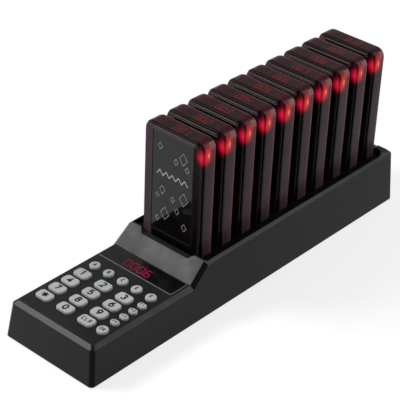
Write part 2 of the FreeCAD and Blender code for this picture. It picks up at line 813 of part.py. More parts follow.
def make_battery(front):
    """The flat battery against the inside of a pager's back."""
    back = front + pager_thickness - pager_wall
    half = battery_width / 2
    z0 = seat_z + battery_bottom
    return box(-half, half, back - battery_thickness, back, z0, z0 + battery_length)


def make_vibration_motor(front):
    """The coin motor on the back of a pager's circuit board."""
    board_rear = front + pager_board_depth + board_thickness
    return bar(motor_radius, motor_thickness, Vector(0, board_rear, seat_z + motor_height), REARWARD)


def make_contacts(index):
    """Two brass pads in a pager's foot."""
    pads = []
    for x, y in contact_points(index):
        face_z = seat_z + contact_lift
        flange_z = seat_z + pager_wall
        stud = bar(contact_radius, flange_z - face_z, Vector(x, y, face_z))
        flange = bar(contact_flange, contact_flange_thickness, Vector(x, y, flange_z))
        pads.append(joined([stud, flange]))
    return Part.makeCompound(pads)


def pager_nodes(index):
    """The first pager's pieces as nodes of their own, and the others' in two groups."""
    front = pager_front(index)
    front_case = make_front_case(front)
    label = make_label_panel(front)
    back_case = make_back_case(front)
    inner = {
        "circuit_board": make_circuit_board(front),
        "number_display": make_number_display(front),
        "battery": make_battery(front),
        "vibration_motor": make_vibration_motor(front),
        "contacts": make_contacts(index),
    }
    if index == 0:
        nodes = {"front_case": front_case, "label_panel": label, "back_case": back_case}
        nodes.update(inner)
    else:
        nodes = {
            "front_case": Part.makeCompound([front_case, label]),
            "back_case": Part.makeCompound([back_case] + list(inner.values())),
        }
    return {"pager_%02d_%s" % (index + 1, name): shape for name, shape in nodes.items()}


# --- the whole product -----------------------------------------------------------------------
def all_nodes():
    """Every node's name and shape."""
    nodes = {
        "top_housing": make_top_housing(),
        "bottom_cover": make_bottom_cover(),
        "charging_bay": make_charging_bay(),
        "display_window": make_display_window(),
        "display_module": make_display_module(),
        "key_mat": make_key_mat(),
        "control_board": make_control_board(),
        "charging_board": make_charging_board(),
        "charging_pins": make_charging_pins(),
        "dc_socket": make_dc_socket(),
        "rubber_feet": make_rubber_feet(),
        "housing_screws": make_housing_screws(),
    }
    for name, form, x, y in key_layout():
        nodes[name] = make_key(form, x, y)
    for index in range(pager_count):
        nodes.update(pager_nodes(index))
    return nodes


def main():
    os.makedirs("parts", exist_ok=True)
    for name, shape in all_nodes().items():
        shape.exportStep("parts/%s.step" % name)
        print(name, len(shape.Solids), "solids", round(shape.Volume / 1000.0, 2), "cm3", shape.isValid())


main()
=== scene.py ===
"""Looks of the guest pager system: materials, legends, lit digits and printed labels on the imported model.

Metres, in the same frame as the solids: +X the operator's right, +Y to the rear, +Z up.
"""
import math

import bpy
from mathutils import Matrix, Vector


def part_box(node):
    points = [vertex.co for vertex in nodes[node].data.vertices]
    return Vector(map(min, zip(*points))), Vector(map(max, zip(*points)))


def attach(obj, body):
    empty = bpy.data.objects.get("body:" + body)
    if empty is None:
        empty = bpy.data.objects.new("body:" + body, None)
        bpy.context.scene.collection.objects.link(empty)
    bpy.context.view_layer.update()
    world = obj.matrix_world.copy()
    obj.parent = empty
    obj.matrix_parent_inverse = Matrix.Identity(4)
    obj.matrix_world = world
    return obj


MM = 0.001
PAGERS = 10
PRINT = 0.03                # thickness of a printed mark, in millimetres

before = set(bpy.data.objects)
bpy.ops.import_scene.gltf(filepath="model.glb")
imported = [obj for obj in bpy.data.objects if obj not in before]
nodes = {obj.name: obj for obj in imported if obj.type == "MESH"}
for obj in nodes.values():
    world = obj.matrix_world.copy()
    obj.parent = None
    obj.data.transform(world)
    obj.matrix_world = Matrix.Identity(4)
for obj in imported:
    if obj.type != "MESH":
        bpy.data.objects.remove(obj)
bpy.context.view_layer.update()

# --- places taken from the frame ---------------------------------------------------------------
module_low, module_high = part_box("display_module")
label_low, label_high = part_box("pager_01_label_panel")
shell_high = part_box("pager_01_back_case")[1]
WINDOW_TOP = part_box("display_window")[1].z
FACE_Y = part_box("pager_01_front_case")[0].y
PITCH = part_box("pager_02_front_case")[0].y - FACE_Y
SIDE_X = shell_high.x
LAMP_Z = shell_high.z - 12.2 * MM       # middle of the lamps
SHOULDER_Z = shell_high.z - 9.0 * MM    # where the sides begin to round over


# --- shapes ------------------------------------------------------------------------------------
def plane_at(origin, right, up):
    """A flat drawing plane: its points (u, v, w) in millimetres go right, up and out."""
    out = right.cross(up)
    turn = Matrix((right, up, out)).transposed().to_4x4()
    return Matrix.Translation(origin) @ turn @ Matrix.Scale(MM, 4)


def prisms(name, outlines, place, thickness):
    """Thin closed prisms, one for each convex outline, as one mesh object."""
    verts = []
    faces = []
    for outline in outlines:
        first = len(verts)
        count = len(outline)
        for level in (0.0, thickness):
            verts += [place @ Vector((u, v, level)) for u, v in outline]
        faces.append([first + i for i in reversed(range(count))])
        faces.append([first + count + i for i in range(count)])
        for i in range(count):
            j = (i + 1) % count
            faces.append([first + i, first + j, first + count + j, first + count + i])
    return mesh_object(name, verts, faces)


def mesh_object(name, verts, faces):
    mesh = bpy.data.meshes.new(name)
    mesh.from_pydata(verts, [], faces)
    mesh.update()
    made = bpy.data.objects.new(name, mesh)
    bpy.context.scene.collection.objects.link(made)
    return made


MITRE_LIMIT = 0.5           # least cosine at a corner, so that a sharp one doesn't spike


def rails(points, width, closed):
    """The two edges of a line of (u, v) points with this width, mitred at each point."""
    count = len(points)
    left, right = [], []
    for i in range(count):
        before = points[i - 1] if closed or i > 0 else points[i]
        after = points[(i + 1) % count] if closed or i < count - 1 else points[i]
        came = Vector(points[i]) - Vector(before)
        goes = Vector(after) - Vector(points[i])
        came = came.normalized() if came.length else goes.normalized()
        goes = goes.normalized() if goes.length else came
        run = (came + goes).normalized()
        reach = width / 2 / max(run.dot(goes), MITRE_LIMIT)
        side = Vector((-run.y, run.x)) * reach
        left.append(Vector(points[i]) + side)
        right.append(Vector(points[i]) - side)
    return left, right


def ribbons(name, lines, place, thickness):
    """Printed lines as one mesh of flat ribbons.

    A line is (points, width), and a ring if it ends where it starts.
    """
    verts = []
    faces = []
    for points, width in lines:
        first = len(verts)
        closed = points[0] == points[-1]
        if closed:
            points = points[:-1]
        for left, right in zip(*rails(points, width, closed)):
            corners = ((right, 0.0), (left, 0.0), (left, thickness), (right, thickness))
            verts += [place @ Vector((p.x, p.y, level)) for p, level in corners]
        count = len(points)
        for i in range(count if closed else count - 1):
            here, there = first + 4 * i, first + 4 * ((i + 1) % count)
            for k in range(4):
                m = (k + 1) % 4
                faces.append([here + k, here + m, there + m, there + k])
        if not closed:
            last = first + 4 * (count - 1)
            faces.append([first + 3, first + 2, first + 1, first])
            faces.append([last, last + 1, last + 2, last + 3])
    return mesh_object(name, verts, faces)


ARC_STEP = 22               # degrees from one point of an arc to the next, about
ARC_FEWEST = 4              # steps in even the shortest arc


def arc(middle_u, middle_v, radius_u, radius_v, start, stop):
    """Points on an oval, from one angle to another in degrees."""
    steps = max(ARC_FEWEST, round(abs(stop - start) / ARC_STEP))
    angles = [math.radians(start + (stop - start) * i / steps) for i in range(steps + 1)]
    return [(middle_u + radius_u * math.cos(a), middle_v + radius_v * math.sin(a)) for a in angles]


def ring(points):
    return points + points[:1]


def oval(middle_u, middle_v, radius_u, radius_v):
    return ring(arc(middle_u, middle_v, radius_u, radius_v, 90, 450)[:-1])


# Strokes of a plain alphabet, in a cell one unit high with its middle at (0, 0).
STEM = [(-0.25, -0.5), (-0.25, 0.5)]
UPPER_BOWL = [(-0.25, 0.5)] + arc(0.02, 0.25, 0.24, 0.25, 90, -90) + [(-0.25, 0.0)]
HOOK = arc(0.28, -0.17, 0.58, 0.67, 95, 180)
GLYPHS = {
    "0": [oval(0, 0, 0.30, 0.5)],
    "1": [[(-0.17, 0.30), (0.05, 0.5), (0.05, -0.5)]],
    "2": [arc(0, 0.21, 0.28, 0.29, 165, -35) + [(-0.28, -0.5), (0.30, -0.5)]],
    "3": [arc(-0.02, 0.25, 0.26, 0.25, 150, -90), arc(-0.02, -0.24, 0.30, 0.26, 90, -150)],
    "4": [[(0.12, -0.5), (0.12, 0.5), (-0.30, -0.20), (0.32, -0.20)]],
    "5": [[(0.26, 0.5), (-0.20, 0.5), (-0.25, 0.03)] + arc(0, -0.18, 0.29, 0.32, 120, -145)],
    "6": [oval(0, -0.19, 0.29, 0.31), HOOK],
    "7": [[(-0.28, 0.5), (0.28, 0.5), (-0.08, -0.5)]],
    "8": [oval(0, 0.26, 0.24, 0.24), oval(0, -0.23, 0.30, 0.27)],
    "9": [oval(0, 0.19, 0.29, 0.31), [(-u, -v) for u, v in HOOK]],
    "A": [[(-0.34, -0.5), (0, 0.5), (0.34, -0.5)], [(-0.22, -0.16), (0.22, -0.16)]],
    "B": [STEM, UPPER_BOWL, [(-0.25, 0.0)] + arc(0.05, -0.25, 0.25, 0.25, 90, -90) + [(-0.25, -0.5)]],
    "C": [arc(0.05, 0, 0.34, 0.5, 50, 310)],
    "E": [[(0.26, 0.5), (-0.25, 0.5), (-0.25, -0.5), (0.26, -0.5)], [(-0.25, 0), (0.18, 0)]],
    "F": [[(0.26, 0.5), (-0.25, 0.5), (-0.25, -0.5)], [(-0.25, 0), (0.18, 0)]],
    "K": [STEM, [(0.27, 0.5), (-0.25, -0.08)], [(-0.07, 0.10), (0.30, -0.5)]],
    "L": [[(-0.25, 0.5), (-0.25, -0.5), (0.24, -0.5)]],
    "O": [oval(0, 0, 0.36, 0.5)],
    "R": [STEM, UPPER_BOWL, [(0, 0), (0.28, -0.5)]],
    "*": [[(0, -0.5), (0, 0.5)], [(-0.43, -0.25), (0.43, 0.25)], [(-0.43, 0.25), (0.43, -0.25)]],
}


PITCH_PER_HEIGHT = 0.60     # a letter's pitch is this share of its height
PITCH_PER_STROKE = 1.6      # and this share of its stroke


def words_piece(name, words, height, stroke, place):
    """Printed words, one unit cell for each letter, centred on the drawing plane."""
    pitch = PITCH_PER_HEIGHT * height + PITCH_PER_STROKE * stroke
    lines = []
    for index, letter in enumerate(words):
        shift = (index - (len(words) - 1) / 2) * pitch
        for line in GLYPHS[letter]:
            lines.append(([(u * height + shift, v * height) for u, v in line], stroke))
    return ribbons(name, lines, place, PRINT)


SEGMENTS = {
    "0": "abcdef", "1": "bc", "2": "abged", "3": "abgcd", "4": "fgbc",
    "5": "afgcd", "6": "afgedc", "7": "abc", "8": "abcdefg", "9": "abcdfg",
}
BAR_GAP = 0.62              # share of its stroke that a bar stays clear of each end


def lit_bars(text, pitch, width, height, stroke, slant):
    """Outlines of the lit bars of a row of seven-segment digits, centred on (0, 0)."""
    half_w, half_h = width / 2, height / 2
    ends = {
        "a": ((-half_w, half_h), (half_w, half_h)),
        "b": ((half_w, half_h), (half_w, 0)),
        "c": ((half_w, 0), (half_w, -half_h)),
        "d": ((-half_w, -half_h), (half_w, -half_h)),
        "e": ((-half_w, 0), (-half_w, -half_h)),
        "f": ((-half_w, half_h), (-half_w, 0)),
        "g": ((-half_w, 0), (half_w, 0)),
    }
    gap = stroke * BAR_GAP
    outlines = []
    for place, digit in enumerate(text):
        shift = (place - (len(text) - 1) / 2) * pitch
        for bar in SEGMENTS[digit]:
            start, end = Vector(ends[bar][0]), Vector(ends[bar][1])
            run = (end - start).normalized()
            side = Vector((-run.y, run.x)) * stroke / 2
            start, end = start + run * gap, end - run * gap
            tip = run * stroke / 2
            corners = [start - tip, start - side, end - side, end + tip, end + side, start + side]
            outlines.append([(p.x + p.y * slant + shift, p.y) for p in corners])
    return outlines


# --- materials ---------------------------------------------------------------------------------
MIX_INPUTS = (0, 6, 7)      # sockets of a colour mix: amount, first and second colour
MIX_OUTPUT = 2
BEVEL_SAMPLES = 4


class Material:
    """A node material: a Principled surface and short calls for the nodes that feed it."""

    def __init__(self, name):
        self.material = bpy.data.materials.new(name)
        self.material.use_nodes = True
        self.tree = self.material.node_tree
        self.surface = self.tree.nodes["Principled BSDF"]
        self.place = self.add("ShaderNodeTexCoord").outputs["Object"]

    def add(self, kind, **settings):
        node = self.tree.nodes.new(kind)
        for key, value in settings.items():
            setattr(node, key, value)
        return node

    def feed(self, value, socket):
        if isinstance(value, bpy.types.NodeSocket):
            self.tree.links.new(value, socket)
        else:
            socket.default_value = value

    def set(self, **values):
        for key, value in values.items():
            self.feed(value, self.surface.inputs[key.replace("_", " ")])

    def math(self, operation, *values):
        node = self.add("ShaderNodeMath", operation=operation)
        for value, socket in zip(values, node.inputs):
            self.feed(value, socket)
        return node.outputs[0]

    def split(self, vector=None):
        node = self.add("ShaderNodeSeparateXYZ")
        self.feed(vector or self.place, node.inputs[0])
        return node.outputs

    def noise(self, scale, detail=3.0, stretch=(1.0, 1.0, 1.0)):
        mapping = self.add("ShaderNodeMapping")
        mapping.inputs["Scale"].default_value = stretch
        self.feed(self.place, mapping.inputs["Vector"])
        node = self.add("ShaderNodeTexNoise")
        node.inputs["Scale"].default_value = scale
        node.inputs["Detail"].default_value = detail
        self.feed(mapping.outputs[0], node.inputs["Vector"])
        return node.outputs["Fac"]

    def spread(self, value, low, high, low_in=0.3, high_in=0.7):
        node = self.add("ShaderNodeMapRange")
        for key, number in (("From Min", low_in), ("From Max", high_in), ("To Min", low), ("To Max", high)):
            node.inputs[key].default_value = number
        self.feed(value, node.inputs["Value"])
        return node.outputs[0]

    def ramp(self, value, stops):
        """A colour that runs through stops of (value, colour)."""
        first, last = stops[0][0], stops[-1][0]
        node = self.add("ShaderNodeValToRGB")
        elements = node.color_ramp.elements
        while len(elements) < len(stops):
            elements.new(0.5)
        for element, (place, colour) in zip(elements, stops):
            element.position = (place - first) / (last - first)
            element.color = colour
        self.feed(self.spread(value, 0.0, 1.0, first, last), node.inputs[0])
        return node.outputs[0]

    def rise(self, value, start, stop):
        """0 up to the start and 1 from the stop on."""
        return self.spread(value, 0.0, 1.0, start, stop)

    def fall(self, value, start, stop):
        """1 up to the start and 0 from the stop on."""
        return self.spread(value, 1.0, 0.0, start, stop)

    def near(self, value, centre, start, stop):
        """Falls from 1 to 0 with the distance from the centre."""
        return self.fall(self.math("ABSOLUTE", self.math("SUBTRACT", value, centre)), start, stop)

    def both(self, first, second):
        """The product of two masks, high where both are."""
        return self.math("MULTIPLY", first, second)

    def facing(self):
        """The x, y and z of the way a face looks: z is 1 on tops and 0 on upright walls."""
        return self.split(self.add("ShaderNodeNewGeometry").outputs["True Normal"])

    def mix(self, amount, low, high):
        node = self.add("ShaderNodeMix", data_type="RGBA")
        for socket, value in zip(MIX_INPUTS, (amount, low, high)):
            self.feed(value, node.inputs[socket])
        return node.outputs[MIX_OUTPUT]

    def rounded(self, radius):
        """The normal with sharp edges rounded off."""
        node = self.add("ShaderNodeBevel", samples=BEVEL_SAMPLES)
        node.inputs["Radius"].default_value = radius
        return node.outputs[0]

    def edges(self, radius):
        """0 on flats, 1 on sharp edges, and the normal with those edges rounded off."""
        normal = self.rounded(radius)
        across = self.add("ShaderNodeVectorMath", operation="DOT_PRODUCT")
        self.feed(normal, across.inputs[0])
        self.feed(self.add("ShaderNodeNewGeometry").outputs["Normal"], across.inputs[1])
        return self.fall(across.outputs["Value"], 0.75, 0.98), normal

    def bump(self, height, depth, normal=None):
        node = self.add("ShaderNodeBump")
        node.inputs["Distance"].default_value = depth
        self.feed(height, node.inputs["Height"])
        if normal:
            self.feed(normal, node.inputs["Normal"])
        self.feed(node.outputs[0], self.surface.inputs["Normal"])


def rgb(red, green, blue):
    return (red, green, blue, 1.0)


BLACK = rgb(0, 0, 0)
WHITE = rgb(1, 1, 1)


def moulded(name, dark, light, smooth, rough, grain_depth, specular, wear_and_highlight=None):
    """Textured moulded plastic: fine grain, faint clouds, and edges lighter where a colour for them is
    given, partly wear and partly a painted highlight.
    """
    made = Material(name)
    colour = made.mix(made.spread(made.noise(28.0, 4.0), 0.0, 1.0), dark, light)
    finish_moulded(made, colour, smooth, rough, grain_depth, specular, wear_and_highlight)
    return made.material


MOULDED_EDGE = 0.45 * MM


def finish_moulded(made, colour, smooth, rough, grain_depth, specular, wear_and_highlight):
    """Gives a moulded plastic its colour, edges lighter with wear and a painted highlight, gloss and grain.
    """
    gloss = made.spread(made.noise(60.0, 5.0), smooth, rough)
    normal = None
    if wear_and_highlight:
        edge, normal = made.edges(MOULDED_EDGE)
        # Edges lighter: partly wear, partly a painted highlight.
        rubbed_and_highlit_mask = made.both(edge, made.spread(made.noise(220.0, 3.0), 0.25, 1.0))
        colour = made.mix(rubbed_and_highlit_mask, colour, wear_and_highlight)
    made.set(Base_Color=colour, Roughness=gloss, Specular_IOR_Level=specular)
    made.bump(made.noise(2600.0, 2.0), grain_depth, normal)


# Painted light: the deck paler than the walls and paler to the left, the front wall paler than the sides.
DECK_LEFT = rgb(0.023, 0.024, 0.026)
DECK_RIGHT = rgb(0.015, 0.016, 0.0175)
WALL_SIDE = rgb(0.0045, 0.005, 0.006)
WALL_FRONT = rgb(0.0155, 0.0165, 0.018)
# Painted highlights along the bevels, brightest on the front one.
BEVEL_SIDE_HIGHLIGHT = rgb(0.046, 0.047, 0.050)
BEVEL_FRONT_HIGHLIGHT = rgb(0.180, 0.182, 0.187)
# Edges lighter: partly wear, partly a painted highlight.
EDGE_WEAR_HIGHLIGHT_BLACK = rgb(0.055, 0.057, 0.060)
BEVEL_TILT = 0.745          # how far the housing's bevels look up
CROWN_TILT = 0.75           # the same for the middle line of a bevel, once rounded
CROWN_RADIUS = 3.0 * MM


def housing_plastic(name):
    """Black moulded plastic with painted light on the top, the front wall and along the bevels, and painted
    shade at the corners.
    """
    made = Material(name)
    x, y = made.split()[:2]
    face_x, face_y, face_z = made.facing()
    front = made.fall(face_y, -0.6, -0.4)

    # Painted light: tops paler than walls, the deck paler to the left, the front wall paler than the sides
    # and most to the left.
    deck = made.mix(made.rise(x, -38 * MM, 42 * MM), DECK_LEFT, DECK_RIGHT)
    lit_left = made.both(front, made.spread(x, 1.0, 0.25, -48 * MM, 40 * MM))
    walls = made.mix(lit_left, WALL_SIDE, WALL_FRONT)
    colour = made.mix(made.rise(face_z, 0.2, 0.95), walls, deck)
    colour = made.mix(made.spread(made.noise(28.0, 4.0), 0.0, 0.25), colour, BLACK)

    # Painted highlight along the middle of each bevel, left off the sloping face.
    crown = made.near(made.split(made.rounded(CROWN_RADIUS))[2], CROWN_TILT, 0.0, 0.19)
    tilted = made.near(face_z, BEVEL_TILT, 0.02, 0.05)
    sloping_face = made.both(front, made.rise(y, -192 * MM, -188 * MM))
    bevel = made.both(tilted, made.math("SUBTRACT", 1.0, sloping_face))
    bevel_highlight = made.mix(front, BEVEL_SIDE_HIGHLIGHT, BEVEL_FRONT_HIGHLIGHT)
    colour = made.mix(made.both(bevel, crown), colour, bevel_highlight)

    # Metal with a near black colour at the rounded corners, so that they look dark: painted shade.
    corner = made.math("ABSOLUTE", made.both(face_x, face_y))
    made.set(Metallic=made.spread(corner, 0.0, 0.9, 0.08, 0.34))
    finish_moulded(made, colour, 0.30, 0.40, 0.00002, 0.15, EDGE_WEAR_HIGHLIGHT_BLACK)
    return made.material


def display_filter(name):
    """The dark window: polished, a little paler towards the left, its cut bevel matt, with a pale grey that
    is a painted highlight.
    """
    made = Material(name)
    paler_left = made.fall(made.split()[0], -30 * MM, 12 * MM)
    polished = made.mix(paler_left, rgb(0.0020, 0.0015, 0.0015), rgb(0.012, 0.0115, 0.0125))
    # The cut bevel's pale grey is a painted highlight.
    bevel = made.fall(made.facing()[2], 0.90, 0.98)
    made.set(
        Base_Color=made.mix(bevel, polished, rgb(0.11, 0.11, 0.112)),
        Roughness=made.mix(bevel, made.spread(made.noise(60.0, 5.0), 0.08, 0.13), rgb(0.7, 0.7, 0.7)),
        Specular_IOR_Level=0.5,
    )
    made.bump(made.noise(2600.0, 2.0), 0.000002)
    return made.material


def lit(name, colour, dim, fade):
    """Lit segments between a full and a dim colour; fade is the share of light at the row's left end."""
    made = Material(name)
    level = made.spread(made.noise(900.0, 1.0), 0.0, 1.0)
    made.set(
        Base_Color=rgb(0.02, 0.0, 0.0),
        Roughness=0.35,
        Specular_IOR_Level=0.1,
        Emission_Color=made.mix(level, dim, colour),
        Emission_Strength=made.spread(made.split()[0], fade, 1.0, -14 * MM, 8 * MM),
    )
    return made.material


THIN_INK = 0.8              # brightness of ink where its cover is thin


def print_ink(name, colour, roughness):
    """Printed ink with slightly uneven cover."""
    made = Material(name)
    cover = made.spread(made.noise(1500.0, 3.0), 0.85, 1.0)
    faded = rgb(*[channel * THIN_INK for channel in colour[:3]])
    made.set(Base_Color=made.mix(cover, faded, colour), Roughness=roughness, Specular_IOR_Level=0.2)
    return made.material


GLOW_COLOURS = (
    (0.0, rgb(0, 0, 0)), (0.08, rgb(0.035, 0.0, 0.002)), (0.24, rgb(0.21, 0.001, 0.007)),
    (0.42, rgb(0.40, 0.003, 0.010)), (0.58, rgb(0.50, 0.018, 0.018)), (0.70, rgb(0.66, 0.085, 0.045)),
    (0.86, rgb(0.90, 0.29, 0.12)), (1.0, rgb(1.0, 0.46, 0.20)),
)
LOBE_RED = rgb(0.60, 0.006, 0.040)


def add_glow(made, x, along, z, reach):
    """The lamps' glow near the upper corners, painted on the shell as light of its own.

    Each side has a broad red pool with a hot streak and its fainter echo, parted above the lamp by the
    gap between the cases. The front has a plain red lobe.
    """
    def lobe(weight, *terms):
        """A soft hill, where each term is (place, centre, size, power)."""
        total = None
        for value, centre, size, power in terms:
            offset = made.math("ABSOLUTE", made.math("DIVIDE", made.math("SUBTRACT", value, centre), size))
            term = made.math("POWER", offset, power)
            total = made.math("ADD", total, term) if total else term
        return made.both(made.math("EXPONENT", made.both(total, -1.0)), weight)

    height = (z, LAMP_Z + 0.6 * MM, 8.4 * MM, 4.0)
    side = (made.math("ABSOLUTE", x), SIDE_X, reach, 2.0)
    pool = lobe(0.50, (along, 5.0 * MM, 6.4 * MM, 2.0), height, side)
    streak = lobe(0.50, (along, 7.9 * MM, 0.95 * MM, 2.0), (z, LAMP_Z, 3.8 * MM, 2.0), side)
    echo = lobe(0.20, (along, 5.0 * MM, 0.6 * MM, 2.0), (z, LAMP_Z + 0.6 * MM, 3.0 * MM, 2.0), side)
    parting = lobe(0.34, (along, 2.4 * MM, 1.5 * MM, 2.0), height, side)
    parting = made.both(parting, made.rise(z, LAMP_Z - 1.0 * MM, LAMP_Z + 6.0 * MM))
    level = made.math("ADD", made.math("ADD", pool, streak), echo)
    level = made.math("SUBTRACT", level, parting)
    front = lobe(0.95, (x, SIDE_X - 2.4 * MM, 3.3 * MM, 2.0), (z, LAMP_Z - 0.4 * MM, 4.8 * MM, 2.0),
                 (along, 0.0, 1.3 * MM, 4.0))
    total = made.add("ShaderNodeVectorMath", operation="ADD")
    made.feed(made.ramp(level, GLOW_COLOURS), total.inputs[0])
    made.feed(made.mix(front, BLACK, LOBE_RED), total.inputs[1])
    made.set(Emission_Color=total.outputs[0], Emission_Strength=1.0)


def pager_material(name, specular, reach):
    """Smoked red plastic with its painted glow, then x, how far behind the front, height, and a cloudy
    mask.
    """
    made = Material(name)
    x, y, z = made.split()
    along = made.math("FLOORED_MODULO", made.math("SUBTRACT", y, FACE_Y), PITCH)
    cloud = made.spread(made.noise(35.0, 3.0), 0.0, 0.22)
    made.set(Roughness=made.spread(made.noise(90.0, 4.0), 0.24, 0.36), Specular_IOR_Level=specular)
    add_glow(made, x, along, z, reach)
    return made, x, along, z, cloud


# Colours of the back case by how far behind the pager's front a place lies: near black at the front, then
# painted light, paler and redder towards the rear and a little less at the rear edge.
SIDE_COLOURS = (
    (4.3 * MM, rgb(0.004, 0.001, 0.002)), (5.3 * MM, rgb(0.062, 0.043, 0.047)),
    (11.5 * MM, rgb(0.078, 0.049, 0.055)), (14.0 * MM, rgb(0.135, 0.055, 0.073)),
    (16.0 * MM, rgb(0.200, 0.074, 0.099)), (18.0 * MM, rgb(0.180, 0.064, 0.086)),
    (19.1 * MM, rgb(0.120, 0.044, 0.058)),
)
# The same for the top: painted light, paler and redder towards the rear, and painted shade at the rear
# edge.
TOP_COLOURS = (
    (4.0 * MM, rgb(0.024, 0.0155, 0.0135)), (10.5 * MM, rgb(0.024, 0.0165, 0.0140)),
    (14.0 * MM, rgb(0.056, 0.013, 0.018)), (17.0 * MM, rgb(0.060, 0.012, 0.019)),
    (19.1 * MM, rgb(0.014, 0.004, 0.005)),
)


# Painted light on the back case: a highlight on the shoulders, the top's ends, its crest and its edges.
SHOULDER_HIGHLIGHT = rgb(0.380, 0.190, 0.175)
TOP_LEFT = rgb(0.086, 0.014, 0.027)
TOP_RIGHT = rgb(0.060, 0.013, 0.019)
SHELL_CREST_HIGHLIGHT = rgb(0.060, 0.036, 0.037)
SHELL_EDGE_HIGHLIGHT = rgb(0.10, 0.06, 0.065)
FACE_BLACK = rgb(0.003, 0.002, 0.002)
# Painted light on the left border and crest, painted highlights on the right edge, the two lines and the
# sharp edges.
FACE_LEFT_LIGHT = rgb(0.085, 0.052, 0.063)
FACE_RIGHT_HIGHLIGHT = rgb(0.026, 0.017, 0.018)
FACE_CREST_LIGHT = rgb(0.024, 0.014, 0.015)
FACE_LINE_HIGHLIGHT = rgb(0.24, 0.20, 0.20)
FACE_EDGE_HIGHLIGHT = rgb(0.20, 0.17, 0.17)
PAGER_EDGE = 0.35 * MM


def finish_pager(made, colour, normal):
    """Gives a pager's plastic its colour and a slight waviness."""
    made.set(Base_Color=colour)
    made.bump(made.noise(400.0, 2.0), 0.00001, normal)
    return made.material


def pager_shell(name):
    """The back case: near black where it laps the front one, with painted light elsewhere: redder and paler
    towards the rear, on the shoulders, at the top's ends and along its crest and edges.
    """
    made, x, along, z, cloud = pager_material(name, 0.07, 4.0 * MM)
    # Painted highlight on the rounded shoulders.
    shoulder_highlight = made.both(made.rise(z, SHOULDER_Z, SHOULDER_Z + 3.0 * MM),
                         made.rise(along, 8.0 * MM, 11.5 * MM))
    side = made.mix(shoulder_highlight, made.ramp(along, SIDE_COLOURS), SHOULDER_HIGHLIGHT)
    top = made.ramp(along, TOP_COLOURS)
    # Painted light: the top's ends redder, the left end palest.
    top = made.mix(made.rise(x, 15.0 * MM, 28.0 * MM), top, TOP_RIGHT)
    top = made.mix(made.fall(x, -29.0 * MM, -16.0 * MM), top, TOP_LEFT)
    upper = made.math("MAXIMUM", made.rise(made.facing()[2], 0.75, 0.92),
                      made.rise(z, SHOULDER_Z + 6.0 * MM, SHOULDER_Z + 7.0 * MM))
    colour = made.mix(upper, side, top)
    # Painted highlight along the top's front crest.
    crest = made.both(upper, made.fall(along, 3.1 * MM, 3.6 * MM))
    crest = made.both(crest, made.fall(x, 24.0 * MM, 26.0 * MM))
    colour = made.mix(crest, colour, SHELL_CREST_HIGHLIGHT)
    colour = made.mix(cloud, colour, BLACK)
    # Painted highlight along the sharp edges.
    edge, normal = made.edges(PAGER_EDGE)
    colour = made.mix(made.both(edge, 0.25), colour, SHELL_EDGE_HIGHLIGHT)
    return finish_pager(made, colour, normal)


def pager_front(name):
    """The front case: near black, with painted light on its left border and crest and painted highlights
    along its right edge, two lines near its top and its sharp edges.
    """
    made, x, along, z, cloud = pager_material(name, 0.06, 2.4 * MM)
    front = made.fall(along, 0.9 * MM, 1.2 * MM)
    # Painted light on the left border.
    left = made.both(made.fall(x, -23.2 * MM, -22.6 * MM), front)
    colour = made.mix(left, FACE_BLACK, FACE_LEFT_LIGHT)
    # Painted highlight along the right edge.
    right = made.both(made.rise(x, 29.4 * MM, 31.0 * MM), front)
    colour = made.mix(right, colour, FACE_RIGHT_HIGHLIGHT)
    inside = made.fall(x, 24.3 * MM, 26.0 * MM)
    # Painted light on the crest above the label.
    crest = made.both(made.rise(z, SHOULDER_Z + 2.6 * MM, SHOULDER_Z + 3.2 * MM), inside)
    colour = made.mix(crest, colour, FACE_CREST_LIGHT)
    colour = made.mix(cloud, colour, BLACK)
    # Two painted highlight lines near the top of the front.
    for line_z in (SHOULDER_Z + 3.9 * MM, SHOULDER_Z + 5.7 * MM):
        line = made.both(made.near(z, line_z, 0.10 * MM, 0.38 * MM), front)
        colour = made.mix(made.both(line, inside), colour, FACE_LINE_HIGHLIGHT)
    # Painted highlight along the sharp edges.
    edge, normal = made.edges(PAGER_EDGE)
    edge = made.both(edge, made.spread(inside, 0.15, 0.8, 0.0, 1.0))
    colour = made.mix(edge, colour, FACE_EDGE_HIGHLIGHT)
    return finish_pager(made, colour, normal)


def label_card(name):
    """Glossy black laminate over the printed card, with a faint cast in the coating."""
    made = Material(name)
    tint = made.spread(made.noise(40.0, 2.0), 0.0, 1.0)
    made.set(
        Base_Color=made.mix(tint, rgb(0.0022, 0.0023, 0.0028), rgb(0.0032, 0.0033, 0.0038)),
        Roughness=made.spread(made.noise(120.0, 3.0), 0.05, 0.08),
        Specular_IOR_Level=0.30,
    )
    made.bump(made.noise(700.0, 2.0), 0.000001)
    return made.material


def board(name):
    """Green solder mask with a faint weave."""
    made = Material(name)
    weave = made.noise(900.0, 2.0, (1.0, 6.0, 1.0))
    made.set(
        Base_Color=made.mix(made.spread(weave, 0.0, 1.0), rgb(0.01, 0.09, 0.04), rgb(0.02, 0.14, 0.06)),
        Roughness=made.spread(made.noise(300.0), 0.3, 0.45),
    )
    made.bump(weave, 0.00002)
    return made.material


def metal(name, colour, smooth, rough):
    """Bare metal with fine turning marks."""
    made = Material(name)
    marks = made.noise(1800.0, 2.0, (1.0, 1.0, 8.0))
    made.set(Base_Color=colour, Metallic=1.0, Roughness=made.spread(marks, smooth, rough))
    made.bump(marks, 0.00001)
    return made.material


console = housing_plastic("console_black")
